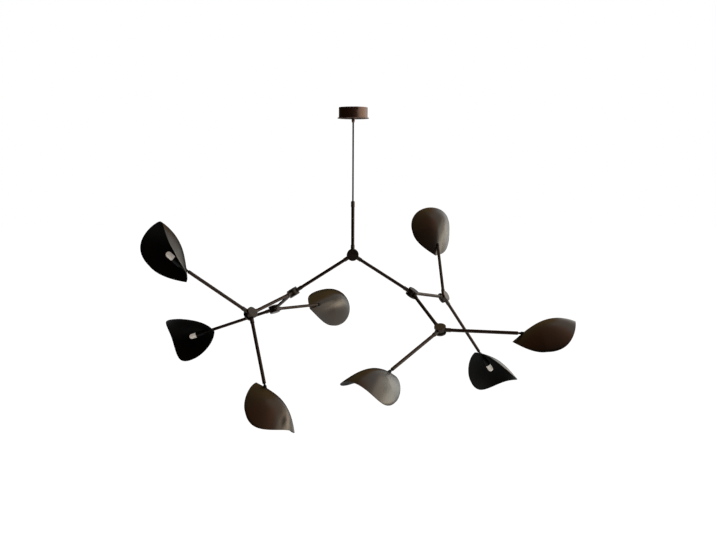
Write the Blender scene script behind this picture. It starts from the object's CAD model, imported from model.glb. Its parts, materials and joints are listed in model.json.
import json
import math

import bpy
from mathutils import Matrix, Vector


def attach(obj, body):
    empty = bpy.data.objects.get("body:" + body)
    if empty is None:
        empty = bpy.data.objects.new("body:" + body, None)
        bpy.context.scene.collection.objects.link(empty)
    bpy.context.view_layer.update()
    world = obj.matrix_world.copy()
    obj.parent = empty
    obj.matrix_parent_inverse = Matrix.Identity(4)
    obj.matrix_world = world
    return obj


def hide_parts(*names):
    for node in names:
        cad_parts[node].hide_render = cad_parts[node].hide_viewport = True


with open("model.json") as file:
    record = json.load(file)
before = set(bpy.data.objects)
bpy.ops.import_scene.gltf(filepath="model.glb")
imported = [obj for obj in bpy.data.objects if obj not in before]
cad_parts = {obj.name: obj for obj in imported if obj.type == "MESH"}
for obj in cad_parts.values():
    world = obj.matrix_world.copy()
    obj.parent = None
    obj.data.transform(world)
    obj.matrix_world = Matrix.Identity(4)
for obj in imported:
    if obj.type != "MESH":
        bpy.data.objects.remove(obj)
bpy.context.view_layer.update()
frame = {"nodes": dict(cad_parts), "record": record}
scene = bpy.context.scene
nodes = frame["nodes"]
bodies = frame["record"]["behaviour"]["bodies"]
body_of_node = {node: body for body, members in bodies.items() for node in members}

# Camera: in front of the light, looking slightly down, as in the photo
CAMERA_AT = (0.0228, -3.8815, -0.2742)
CAMERA_RIGHT = (0.99999, 0.00048, 0.00455)
CAMERA_UP = (-0.00458, 0.10407, 0.99456)
CAMERA_LENS = 46.31
SENSOR_WIDTH = 36.0
CLIP_END = 100.0
camera = bpy.data.objects.new("camera", bpy.data.cameras.new("camera"))
scene.collection.objects.link(camera)
camera.data.lens = CAMERA_LENS
camera.data.sensor_width = SENSOR_WIDTH
camera.data.clip_end = CLIP_END
right = Vector(CAMERA_RIGHT).normalized()
back = right.cross(Vector(CAMERA_UP)).normalized()
up = back.cross(right)
camera_turn = Matrix((right, up, back)).transposed().to_4x4()
camera.matrix_world = Matrix.Translation(CAMERA_AT) @ camera_turn
scene.camera = camera
scene.view_settings.view_transform = "Standard"


# Materials
NOISE_ROUGHNESS = 0.55
CLOUD_DETAIL = 5.0
TONE_FROM, TONE_TO = 0.3, 0.7
GLOSS_FROM, GLOSS_TO = 0.25, 0.75
GRAIN_SCALE = 900.0
GRAIN_DETAIL = 2.0
GRAIN_STRENGTH = 0.04
GRAIN_DEPTH = 0.0001


def shader(name):
    """A new material, its node tree and its Principled shader."""
    material = bpy.data.materials.new(name)
    material.use_nodes = True
    tree = material.node_tree
    return material, tree, tree.nodes["Principled BSDF"]


def noise(tree, scale, detail):
    """Noise in the piece's own coordinates."""
    place = tree.nodes.new("ShaderNodeTexCoord")
    texture = tree.nodes.new("ShaderNodeTexNoise")
    texture.inputs["Scale"].default_value = scale
    texture.inputs["Detail"].default_value = detail
    texture.inputs["Roughness"].default_value = NOISE_ROUGHNESS
    tree.links.new(place.outputs["Object"], texture.inputs["Vector"])
    return texture


def ramp(tree, source, stops):
    """Colours or greys at given places along a factor."""
    node = tree.nodes.new("ShaderNodeValToRGB")
    elements = node.color_ramp.elements
    while len(elements) < len(stops):
        elements.new(0.5)
    for element, (position, colour) in zip(elements, stops):
        rgb = colour if hasattr(colour, "__len__") else (colour, colour, colour)
        element.position = position
        element.color = (*rgb, 1.0)
    tree.links.new(source, node.inputs["Fac"])
    return node.outputs["Color"]


def bump(tree, bsdf, source, strength, distance):
    """A fine relief in the light on the surface."""
    node = tree.nodes.new("ShaderNodeBump")
    node.inputs["Strength"].default_value = strength
    node.inputs["Distance"].default_value = distance
    tree.links.new(source, node.inputs["Height"])
    tree.links.new(node.outputs["Normal"], bsdf.inputs["Normal"])


def patina(name, dark, light, metallic, gloss, scale, edge=1.0, specular=0.5):
    """A finish whose tone and roughness drift in soft clouds, with a fine lacquer grain."""
    material, tree, bsdf = shader(name)
    clouds = noise(tree, scale, CLOUD_DETAIL)
    tone = ramp(tree, clouds.outputs["Fac"], [(TONE_FROM, dark), (TONE_TO, light)])
    tree.links.new(tone, bsdf.inputs["Base Color"])
    bsdf.inputs["Specular Tint"].default_value = (edge, edge, edge, 1.0)
    bsdf.inputs["Specular IOR Level"].default_value = specular
    rough = ramp(tree, clouds.outputs["Fac"], [(GLOSS_FROM, gloss[0]), (GLOSS_TO, gloss[1])])
    tree.links.new(rough, bsdf.inputs["Roughness"])
    grain = noise(tree, GRAIN_SCALE, GRAIN_DETAIL)
    bump(tree, bsdf, grain.outputs["Fac"], GRAIN_STRENGTH, GRAIN_DEPTH)
    bsdf.inputs["Metallic"].default_value = metallic
    return material


SHADE_OUT = patina(
    "shade_bronze",
    dark=(0.060, 0.043, 0.031),
    light=(0.054, 0.052, 0.049),
    metallic=1.0,
    gloss=(0.30, 0.35),
    scale=5.0,
    edge=0.95,
)
SHADE_IN = patina(
    "shade_black",
    dark=(0.0025, 0.0022, 0.0018),
    light=(0.004, 0.0035, 0.003),
    metallic=0.0,
    gloss=(0.5, 0.6),
    scale=12.0,
    specular=0.05,
)
TUBE = patina(
    "bronzed_tube",
    dark=(0.025, 0.016, 0.012),
    light=(0.034, 0.024, 0.019),
    metallic=1.0,
    gloss=(0.32, 0.40),
    scale=12.0,
    edge=0.7,
)
HUB = patina(
    "blackened_hub",
    dark=(0.036, 0.027, 0.021),
    light=(0.044, 0.036, 0.030),
    metallic=1.0,
    gloss=(0.36, 0.46),
    scale=20.0,
)
HOLDER = patina(
    "holder_black",
    dark=(0.003, 0.0027, 0.0025),
    light=(0.005, 0.0045, 0.004),
    metallic=0.0,
    gloss=(0.4, 0.5),
    scale=30.0,
    specular=0.1,
)
CANOPY = patina(
    "canopy_bronze",
    dark=(0.086, 0.049, 0.036),
    light=(0.100, 0.062, 0.048),
    metallic=1.0,
    gloss=(0.32, 0.38),
    scale=12.0,
)
SCREW = patina(
    "screw_black",
    dark=(0.006, 0.005, 0.005),
    light=(0.010, 0.009, 0.008),
    metallic=0.0,
    gloss=(0.4, 0.5),
    scale=60.0,
    specular=0.1,
)
BRACKET = patina(
    "zinc_bracket",
    dark=(0.48, 0.48, 0.50),
    light=(0.62, 0.62, 0.64),
    metallic=1.0,
    gloss=(0.35, 0.5),
    scale=60.0,
)
TERMINAL = patina(
    "terminal_plastic",
    dark=(0.70, 0.69, 0.64),
    light=(0.78, 0.77, 0.72),
    metallic=0.0,
    gloss=(0.45, 0.55),
    scale=60.0,
)

OPAL_DARK = (0.73, 0.72, 0.66)
OPAL_LIGHT = (0.79, 0.78, 0.73)
OPAL_SCALE = 40.0
OPAL_DETAIL = 3.0
OPAL_ROUGHNESS = 0.35
OPAL_DEPTH = (0.01, 0.008, 0.006)
OPAL_DEPTH_SHARE = 0.3
OPAL_GLOW = (1.0, 0.95, 0.88, 1.0)
OPAL_GLOW_STRENGTH = 0.22


def opal_material():
    """Frosted opal glass with a soft, slightly warm body."""
    material, tree, bsdf = shader("opal_glass")
    clouds = noise(tree, OPAL_SCALE, OPAL_DETAIL)
    tone = ramp(tree, clouds.outputs["Fac"], [(TONE_FROM, OPAL_DARK), (TONE_TO, OPAL_LIGHT)])
    tree.links.new(tone, bsdf.inputs["Base Color"])
    bsdf.inputs["Roughness"].default_value = OPAL_ROUGHNESS
    bsdf.inputs["Subsurface Weight"].default_value = OPAL_DEPTH_SHARE
    bsdf.inputs["Subsurface Radius"].default_value = OPAL_DEPTH
    bsdf.inputs["Emission Color"].default_value = OPAL_GLOW
    bsdf.inputs["Emission Strength"].default_value = OPAL_GLOW_STRENGTH
    return material


OPAL = opal_material()

BRAID_TURN = 0.6
BRAID_SCALE = 260.0
BRAID_DARK = (0.006, 0.005, 0.004)
BRAID_LIGHT = (0.022, 0.018, 0.016)
BRAID_FROM, BRAID_TO = 0.2, 0.9
BRAID_RELIEF = 0.5
BRAID_DEPTH = 0.0004
BRAID_ROUGHNESS = 0.8
BRAID_SPECULAR = 0.1


def braid_material():
    """A woven cable sleeve: fine crossed threads."""
    material, tree, bsdf = shader("cable_braid")
    place = tree.nodes.new("ShaderNodeTexCoord")
    waves = []
    for turn in (BRAID_TURN, -BRAID_TURN):
        mapping = tree.nodes.new("ShaderNodeMapping")
        mapping.inputs["Rotation"].default_value = (turn, 0, turn)
        wave = tree.nodes.new("ShaderNodeTexWave")
        wave.inputs["Scale"].default_value = BRAID_SCALE
        tree.links.new(place.outputs["Object"], mapping.inputs["Vector"])
        tree.links.new(mapping.outputs["Vector"], wave.inputs["Vector"])
        waves.append(wave.outputs["Fac"])
    cross = tree.nodes.new("ShaderNodeMath")
    cross.operation = "MAXIMUM"
    tree.links.new(waves[0], cross.inputs[0])
    tree.links.new(waves[1], cross.inputs[1])
    tone = ramp(tree, cross.outputs[0], [(BRAID_FROM, BRAID_DARK), (BRAID_TO, BRAID_LIGHT)])
    tree.links.new(tone, bsdf.inputs["Base Color"])
    bump(tree, bsdf, cross.outputs[0], BRAID_RELIEF, BRAID_DEPTH)
    bsdf.inputs["Roughness"].default_value = BRAID_ROUGHNESS
    bsdf.inputs["Specular IOR Level"].default_value = BRAID_SPECULAR
    return material


BRAID = braid_material()

# CAD nodes that keep their meshes: the welded distance in metres, the angle of a sharp edge
# in degrees, and the finish by the start of the name
WELD_DISTANCE = 0.000001
SPLIT_ANGLE = 32
FINISHES = (
    (("arm_", "shade_arm_", "stem_tube"), TUBE),
    (("hub_", "stem_cap"), HUB),
    (("lamp_holder_",), HOLDER),
    (("canopy_screws",), SCREW),
    (("canopy", "cable_gland"), CANOPY),
    (("ceiling_bracket",), BRACKET),
    (("terminal_block",), TERMINAL),
)


def finish_node(node, material):
    """A CAD node keeps its shape and gets its material and smooth curved faces."""
    piece = nodes[node]
    piece.data.materials.clear()
    piece.data.materials.append(material)
    for polygon in piece.data.polygons:
        polygon.use_smooth = True
    weld = piece.modifiers.new("weld", "WELD")
    weld.merge_threshold = WELD_DISTANCE
    split = piece.modifiers.new("split", "EDGE_SPLIT")
    split.split_angle = math.radians(SPLIT_ANGLE)


for node in nodes:
    for starts, material in FINISHES:
        if node.startswith(starts):
            finish_node(node, material)
            break


# The arms' and shades' places, from the same measures as the solids, in metres and degrees
DROP = 0.616
ARM = 0.300
SHADE_ARM = 0.305
NECK_TO_SHADE = 0.017
HUB_YAW = -1.5
SHADE_RISE = 22.5
SHADE_YAW = 3.0
# For each arm: the hub it leaves, its splay there and its turn
ARMS = {
    "left": ("centre", 57.3, -82.6),
    "right": ("centre", -57.6, -81.3),
    "left_front": ("left", 59.6, -87.7),
    "left_back": ("left", -59.2, 16.1),
    "right_front": ("right", 60.4, 40.2),
    "right_back": ("right", -59.1, 29.1),
}
# For each shade: the hub its tube leaves, its splay there, its turn and the nod of its neck
LAMPS = {
    1: ("left_front", -57.1, 74.9, -9.3),
    2: ("left_back", 59.1, 67.2, -1.2),
    3: ("left_front", 60.1, -9.2, 0.4),
    4: ("left_back", -60.2, 73.2, 11.2),
    5: ("right_front", 59.7, 178.5, -5.2),
    6: ("right_back", -60.9, 151.3, 4.3),
    7: ("right_back", 60.2, 97.8, -2.2),
    8: ("right_front", -58.6, 159.3, 2.5),
}


def turned(degrees, axis):
    """A turn about one of the axes."""
    return Matrix.Rotation(math.radians(degrees), 4, axis)


def along(distance):
    """A step along x."""
    return Matrix.Translation((distance, 0, 0))


yaw = math.radians(HUB_YAW)
hub_z = Vector((-math.sin(yaw), math.cos(yaw), 0))
hub_x = Vector((0, 0, -1))
hub_rows = Matrix((hub_x, hub_z.cross(hub_x), hub_z)).transposed()
hub_place = {"centre": Matrix.Translation((0, 0, -DROP)) @ hub_rows.to_4x4()}
for arm, (parent, splay, turn) in ARMS.items():
    hub_place[arm] = hub_place[parent] @ turned(splay, "Z") @ along(ARM) @ turned(turn, "X")
nod_place = {}
shade_place = {}
for lamp, (parent, splay, turn, nod) in LAMPS.items():
    lamp_place = hub_place[parent] @ turned(splay, "Z") @ along(SHADE_ARM) @ turned(turn, "X")
    nod_place[lamp] = lamp_place @ along(NECK_TO_SHADE) @ turned(nod, "Y")
    shade_place[lamp] = nod_place[lamp] @ turned(SHADE_YAW, "Z") @ turned(-SHADE_RISE, "Y")


def new_mesh(name, points, faces):
    """A smooth shaded mesh from points and faces."""
    mesh = bpy.data.meshes.new(name)
    mesh.from_pydata(points, [], faces)
    mesh.validate()
    for polygon in mesh.polygons:
        polygon.use_smooth = True
    mesh.update()
    return mesh


def dress(name, mesh, place, body, replaced):
    """A new piece over a CAD node: it rides on the node's body and stands for it."""
    mesh = mesh.copy()
    mesh.transform(place)
    mesh.name = name
    piece = bpy.data.objects.new(name, mesh)
    scene.collection.objects.link(piece)
    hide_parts(replaced)
    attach(piece, body)


# Shade: a thin sheet, folded at the tail and curled down on both sides, in metres.
# Its outline is half a leaf; the ridge heights are those at its thirds.
SHADE_T = 0.0016
SHADE_LENGTH = 0.254
RIDGE_THIRD = 0.0334
RIDGE_TWO_THIRDS = 0.0418
RIDGE_FACTOR = 13.5
FOLD_TAIL = 0.23
FOLD_FRONT = 0.006
FOLD_RADIUS = 0.0015
BEND_TAIL = 7.1
BEND_MIDDLE = 9.4
BEND_FRONT = 6.2
OUTLINE = ((0, 0), (0.0475, 0.117), (0.177, 0.1115), (0.1435, 0.0895), (0.254, 0.148), (0.254, 0))
HOLE_AT = 0.0477
ALONG_STEPS = 72
ALONG_EVEN = 0.35
ACROSS_STEPS = 26
ACROSS_CUBIC = 0.25
RIM_STEPS = 4
RIM_BULGE = 0.6
SLOPE_STEP = 0.0001


def outline_at(t):
    """A point of the leaf's half outline, a Bezier curve of six control points."""
    degree = len(OUTLINE) - 1
    x = y = 0.0
    for i, (px, py) in enumerate(OUTLINE):
        weight = math.comb(degree, i) * t**i * (1 - t) ** (degree - i)
        x += weight * px
        y += weight * py
    return x, y


def ridge_height(share):
    """Height of the ridge: zero at both ends and as named at its thirds."""
    blend = RIDGE_THIRD * (2 / 3 - share) + RIDGE_TWO_THIRDS * (share - 1 / 3)
    return RIDGE_FACTOR * share * (1 - share) * blend


def sheet_height(x, y):
    """Height of the outer face over the chord; the fold has a small radius."""
    share = x / SHADE_LENGTH
    slope = max(FOLD_FRONT, FOLD_TAIL * (1 - 2 * share))
    tail = BEND_TAIL * (1 - share) * (1 - 2 * share)
    middle = BEND_MIDDLE * 4 * share * (1 - share)
    front = BEND_FRONT * share * (2 * share - 1)
    fold = math.sqrt(y * y + FOLD_RADIUS**2) - FOLD_RADIUS
    return ridge_height(share) - slope * fold - (tail + middle + front) * y * y


def sheet_normal(x, y):
    """The outer face's outward direction, from its slopes."""
    step = SLOPE_STEP
    dx = (sheet_height(x + step, y) - sheet_height(x - step, y)) / (2 * step)
    dy = (sheet_height(x, y + step) - sheet_height(x, y - step)) / (2 * step)
    return Vector((-dx, -dy, 1)).normalized()


def shade_mesh():
    """The sheet's two faces and a rounded rim; the inner face has its own material."""
    hole = Vector((HOLE_AT, 0, ridge_height(HOLE_AT / SHADE_LENGTH)))
    points = []
    faces = []
    inner = []
    grid = {}
    ts = [0.5 - 0.5 * math.cos(math.pi * i / ALONG_STEPS) for i in range(ALONG_STEPS + 1)]
    ts = [ALONG_EVEN * i / ALONG_STEPS + (1 - ALONG_EVEN) * t for i, t in enumerate(ts)]
    for side in (0, 1):
        for i, t in enumerate(ts):
            x, half = outline_at(t)
            ends = i in (0, ALONG_STEPS)
            for j in range(-ACROSS_STEPS, ACROSS_STEPS + 1):
                if ends and j > -ACROSS_STEPS:
                    grid[side, i, j] = grid[side, i, -ACROSS_STEPS]
                    continue
                across = j / ACROSS_STEPS
                spread = ACROSS_CUBIC * across**3 + (1 - ACROSS_CUBIC) * across
                y = 0.0 if ends else half * spread
                normal = sheet_normal(x, y)
                point = Vector((x, y, sheet_height(x, y))) - normal * SHADE_T * side
                grid[side, i, j] = len(points)
                points.append(point - hole)
    for side in (0, 1):
        for i in range(ALONG_STEPS):
            for j in range(-ACROSS_STEPS, ACROSS_STEPS):
                corners = ((i, j), (i + 1, j), (i + 1, j + 1), (i, j + 1))
                ring = list(dict.fromkeys(grid[side, m, n] for m, n in corners))
                if len(ring) > 2:
                    faces.append(ring if side == 0 else ring[::-1])
                    inner.append(side)
    rim = [(i, -ACROSS_STEPS) for i in range(ALONG_STEPS + 1)]
    rim += [(i, ACROSS_STEPS) for i in range(ALONG_STEPS - 1, 0, -1)]
    count = len(rim)
    loops = [[grid[0, i, j] for i, j in rim]]
    centre = [(points[grid[0, i, j]] + points[grid[1, i, j]]) / 2 for i, j in rim]
    middle = Vector((SHADE_LENGTH / 2, 0, 0)) - hole
    for k in range(1, RIM_STEPS):
        angle = math.pi * k / RIM_STEPS
        loop = []
        for n, (i, j) in enumerate(rim):
            tangent = (centre[(n + 1) % count] - centre[n - 1]).normalized()
            thickness = points[grid[0, i, j]] - centre[n]
            outwards = thickness.cross(tangent).normalized() * thickness.length
            if outwards.dot(centre[n] - middle) < 0:
                outwards = -outwards
            loop.append(len(points))
            bulge = outwards * RIM_BULGE * math.sin(angle)
            points.append(centre[n] + thickness * math.cos(angle) + bulge)
        loops.append(loop)
    loops.append([grid[1, i, j] for i, j in rim])
    for first, second in zip(loops, loops[1:]):
        for n in range(count):
            m = (n + 1) % count
            faces.append([first[n], second[n], second[m], first[m]])
            inner.append(0)
    mesh = new_mesh("shade", points, faces)
    mesh.materials.append(SHADE_OUT)
    mesh.materials.append(SHADE_IN)
    for polygon, side in zip(mesh.polygons, inner):
        polygon.material_index = side
    return mesh


shade_form = shade_mesh()
for lamp, place in shade_place.items():
    dress(f"shade_leaf_{lamp}", shade_form, place, f"lamp_{lamp}", f"shade_{lamp}")

TURN_STEPS = 64


def turned_mesh(name, profile):
    """A body of revolution about x from (x, radius) points; a zero radius closes an end."""
    points = []
    faces = []
    rings = []
    for x, radius in profile:
        if radius == 0:
            rings.append([len(points)])
            points.append((x, 0, 0))
            continue
        ring = []
        for i in range(TURN_STEPS):
            angle = 2 * math.pi * i / TURN_STEPS
            ring.append(len(points))
            points.append((x, radius * math.cos(angle), radius * math.sin(angle)))
        rings.append(ring)
    for first, second in zip(rings, rings[1:]):
        for i in range(TURN_STEPS):
            j = (i + 1) % TURN_STEPS
            corners = ((first, i), (first, j), (second, j), (second, i))
            faces.append(list(dict.fromkeys(ring[k % len(ring)] for ring, k in corners)))
    return new_mesh(name, points, faces)


# Bulb: an opal capsule with a domed end and a flat, slightly rounded back, on its base
HOLDER_END = 0.061
SOCKET_DEPTH = 0.013
BULB_BASE_R = 0.0071
BULB_R = 0.0114
BULB_NECK_R = 0.0104
BULB_SHOULDER = 0.004
BULB_LENGTH = 0.034
BASE_CLEARANCE = 0.001
BACK_RIM = 0.001
BACK_STEP = 0.0001
SHOULDER_STEPS = 5
DOME_STEPS = 16


def bulb_profile():
    """The capsule's half section as (x, radius) points, from its base to the tip of its dome."""
    base = HOLDER_END - SOCKET_DEPTH + BASE_CLEARANCE
    back = BULB_NECK_R - BACK_RIM
    dome = HOLDER_END + BULB_LENGTH - BULB_R
    profile = [(base, 0), (base, BULB_BASE_R)]
    profile += [(HOLDER_END, BULB_BASE_R), (HOLDER_END + BACK_STEP, back)]
    for i in range(1, SHOULDER_STEPS + 1):
        turn = math.pi / 2 * i / SHOULDER_STEPS
        x = HOLDER_END + BULB_SHOULDER * (1 - math.cos(turn))
        profile.append((x, back + (BULB_R - back) * math.sin(turn)))
    for i in range(DOME_STEPS):
        turn = math.pi / 2 * i / DOME_STEPS
        profile.append((dome + BULB_R * math.sin(turn), BULB_R * math.cos(turn)))
    profile.append((dome + BULB_R, 0))
    return profile


bulb_form = turned_mesh("bulb", bulb_profile())
bulb_form.materials.append(OPAL)
for lamp, place in nod_place.items():
    dress(f"opal_capsule_{lamp}", bulb_form, place, f"lamp_{lamp}", f"bulb_{lamp}")

# Suspension cable: taut from the gland to the stem cap
CABLE_D = 0.007
CABLE_TOP = -0.057
CABLE_BOTTOM = -0.395
CABLE_END_RUN = 6 * CABLE_D
cable_curve = bpy.data.curves.new("suspension_line", "CURVE")
cable_curve.dimensions = "3D"
cable_curve.bevel_depth = CABLE_D / 2
cable_curve.bevel_resolution = 6
cable_curve.use_fill_caps = True
spline = cable_curve.splines.new("NURBS")
heights = (
    CABLE_TOP,
    CABLE_TOP - CABLE_END_RUN,
    (CABLE_TOP + CABLE_BOTTOM) / 2,
    CABLE_BOTTOM + CABLE_END_RUN,
    CABLE_BOTTOM,
)
spline.points.add(len(heights) - 1)
for point, z in zip(spline.points, heights):
    point.co = (0, 0, z, 1)
spline.order_u = 3
spline.use_endpoint_u = True
cable_curve.materials.append(BRAID)
cable = bpy.data.objects.new("suspension_line", cable_curve)
scene.collection.objects.link(cable)
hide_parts("suspension_cable")
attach(cable, body_of_node["suspension_cable"])

# Floor under the light, and the white surroundings
FLOOR_Z = -2.3
FLOOR_REACH = 30
FLOOR_TONE = 0.93
FLOOR_ROUGHNESS = 0.9
FLOOR_GLOW = 1.17
FLOOR_GLOW_SHARE = 0.85
ROOM_LIGHT = 0.35
floor_corners = [
    (x * FLOOR_REACH, y * FLOOR_REACH, 0) for x, y in ((-1, -1), (1, -1), (1, 1), (-1, 1))
]
floor_mesh = new_mesh("floor", floor_corners, [(0, 1, 2, 3)])
floor = bpy.data.objects.new("floor", floor_mesh)
floor.location = (0, 0, FLOOR_Z)
scene.collection.objects.link(floor)


def seen_directly(tree):
    """1 for camera, glossy and transmission rays, so that these meet the white surroundings."""
    path = tree.nodes.new("ShaderNodeLightPath")
    total = path.outputs["Is Camera Ray"]
    for output in ("Is Glossy Ray", "Is Transmission Ray"):
        both = tree.nodes.new("ShaderNodeMath")
        both.operation = "ADD"
        both.use_clamp = True
        tree.links.new(total, both.inputs[0])
        tree.links.new(path.outputs[output], both.inputs[1])
        total = both.outputs[0]
    return total


floor_material, tree, floor_bsdf = shader("floor_white")
floor_bsdf.inputs["Base Color"].default_value = (FLOOR_TONE, FLOOR_TONE, FLOOR_TONE, 1)
floor_bsdf.inputs["Roughness"].default_value = FLOOR_ROUGHNESS
floor_bsdf.inputs["Specular IOR Level"].default_value = 0.0
glow = tree.nodes.new("ShaderNodeEmission")
glow.inputs["Strength"].default_value = FLOOR_GLOW
mix = tree.nodes.new("ShaderNodeMixShader")
share = tree.nodes.new("ShaderNodeMath")
share.operation = "MULTIPLY"
share.inputs[1].default_value = FLOOR_GLOW_SHARE
tree.links.new(seen_directly(tree), share.inputs[0])
tree.links.new(share.outputs[0], mix.inputs["Fac"])
tree.links.new(floor_bsdf.outputs[0], mix.inputs[1])
tree.links.new(glow.outputs[0], mix.inputs[2])
tree.links.new(mix.outputs[0], tree.nodes["Material Output"].inputs["Surface"])
floor_mesh.materials.append(floor_material)

world = bpy.data.worlds.new("world")
scene.world = world
world.use_nodes = True
tree = world.node_tree
room = tree.nodes["Background"]
room.inputs["Color"].default_value = (1, 1, 1, 1)
room.inputs["Strength"].default_value = ROOM_LIGHT
white = tree.nodes.new("ShaderNodeBackground")
white.inputs["Color"].default_value = (1, 1, 1, 1)
white.inputs["Strength"].default_value = 1.0
mix = tree.nodes.new("ShaderNodeMixShader")
tree.links.new(seen_directly(tree), mix.inputs["Fac"])
tree.links.new(room.outputs[0], mix.inputs[1])
tree.links.new(white.outputs[0], mix.inputs[2])
tree.links.new(mix.outputs[0], tree.nodes["World Output"].inputs["Surface"])

# Height of the pendant's middle, which all lamps face
MIDDLE_Z = -0.7


def soft_light(name, at, size, energy, colour):
    """A large soft lamp aimed at the pendant's middle."""
    data = bpy.data.lights.new(name, "AREA")
    data.shape = "RECTANGLE"
    data.size, data.size_y = size
    data.energy = energy
    data.color = colour
    lamp = bpy.data.objects.new(name, data)
    scene.collection.objects.link(lamp)
    lamp.location = at
    aim = Vector((0, 0, MIDDLE_Z)) - Vector(at)
    lamp.rotation_euler = aim.to_track_quat("-Z", "Y").to_euler()
    return lamp


def at_bearing(azimuth, elevation, distance, height):
    """A point seen from the axis at a height; azimuth 0 is to the camera, 90 to the right."""
    a = math.radians(azimuth)
    e = math.radians(elevation)
    flat = distance * math.cos(e)
    return (flat * math.sin(a), -flat * math.cos(a), height + distance * math.sin(e))


# A row of soft windows along the right-hand side, with a lighter wall above them:
# name, azimuth and elevation in degrees, radiance
WINDOWS = (
    ("window_a", 52, 3, 0.5),
    ("window_b", 76, 0, 3.2),
    ("window_c", 100, 0, 4.6),
    ("window_d", 124, 5, 2.8),
    ("window_e", 148, 6, 0.3),
)
WINDOW_SIZE = (1.5, 1.3)
WALL_GLOWS = (
    ("wall_glow_a", 64, 25, 1.5),
    ("wall_glow_b", 100, 24, 1.6),
    ("wall_glow_c", 136, 28, 0.1),
)
WALL_GLOW_SIZE = (2.1, 1.5)
LAMP_DISTANCE = 3.6
DAYLIGHT = (0.98, 1.0, 0.89)
for rows, (width, height) in ((WINDOWS, WINDOW_SIZE), (WALL_GLOWS, WALL_GLOW_SIZE)):
    for name, azimuth, elevation, radiance in rows:
        power = radiance * math.pi * width * height
        at = at_bearing(azimuth, elevation, LAMP_DISTANCE, MIDDLE_Z)
        panel = soft_light(name, at, (width, height), power, DAYLIGHT)
        panel.visible_camera = False

# Brown side of the room, from behind over the left to the front:
# it shows in the metal and stays out of the camera's own sight.
# The tones go by azimuth and the glows by elevation, in degrees.
ROOM_RADIUS = 5.0
ROOM_FROM = -204
ROOM_TO = 36
ROOM_STEPS = 48
ROOM_RINGS = (-20, -8, 5, 17, 30, 42, 54, 66, 78)
ROOM_TONES = (
    (-184, (0.75, 0.50, 0.20)),
    (-144, (0.52, 0.45, 0.24)),
    (-104, (0.42, 0.32, 0.18)),
    (-64, (0.40, 0.23, 0.14)),
    (-24, (0.50, 0.30, 0.20)),
    (16, (1.00, 0.62, 0.45)),
)
ROOM_GLOWS = ((5, 0.0), (17, 0.2), (42, 0.65), (66, 1.0))


def room_mesh():
    """Part of a sphere in even steps around and in the named rings upwards."""
    points = []
    for i in range(ROOM_STEPS + 1):
        azimuth = ROOM_FROM + (ROOM_TO - ROOM_FROM) * i / ROOM_STEPS
        points += [at_bearing(azimuth, elevation, ROOM_RADIUS, 0) for elevation in ROOM_RINGS]
    rings = len(ROOM_RINGS)
    faces = []
    for i in range(ROOM_STEPS):
        for k in range(rings - 1):
            here = i * rings + k
            faces.append((here, here + rings, here + rings + 1, here + 1))
    return new_mesh("brown_room", points, faces)


def room_material():
    """A glow whose colour changes around the room and whose strength changes upwards."""
    material = bpy.data.materials.new("brown_room")
    material.use_nodes = True
    tree = material.node_tree
    place = tree.nodes.new("ShaderNodeTexCoord")
    around = tree.nodes.new("ShaderNodeTexGradient")
    around.gradient_type = "RADIAL"
    tree.links.new(place.outputs["Object"], around.inputs["Vector"])
    stops = sorted((((azimuth + 90) / 360) % 1, tone) for azimuth, tone in ROOM_TONES)
    tone = ramp(tree, around.outputs["Fac"], stops)
    axes = tree.nodes.new("ShaderNodeSeparateXYZ")
    tree.links.new(place.outputs["Object"], axes.inputs[0])
    upwards = tree.nodes.new("ShaderNodeMapRange")
    upwards.inputs["From Min"].default_value = 0.0
    upwards.inputs["From Max"].default_value = ROOM_RADIUS
    tree.links.new(axes.outputs["Z"], upwards.inputs["Value"])
    stops = [(math.sin(math.radians(elevation)), strength) for elevation, strength in ROOM_GLOWS]
    strength = ramp(tree, upwards.outputs[0], stops)
    light = tree.nodes.new("ShaderNodeEmission")
    tree.links.new(tone, light.inputs["Color"])
    tree.links.new(strength, light.inputs["Strength"])
    tree.links.new(light.outputs[0], tree.nodes["Material Output"].inputs["Surface"])
    return material


brown_room = bpy.data.objects.new("brown_room", room_mesh())
brown_room.location = (0, 0, MIDDLE_Z)
scene.collection.objects.link(brown_room)
brown_room.visible_camera = False
brown_room.data.materials.append(room_material())
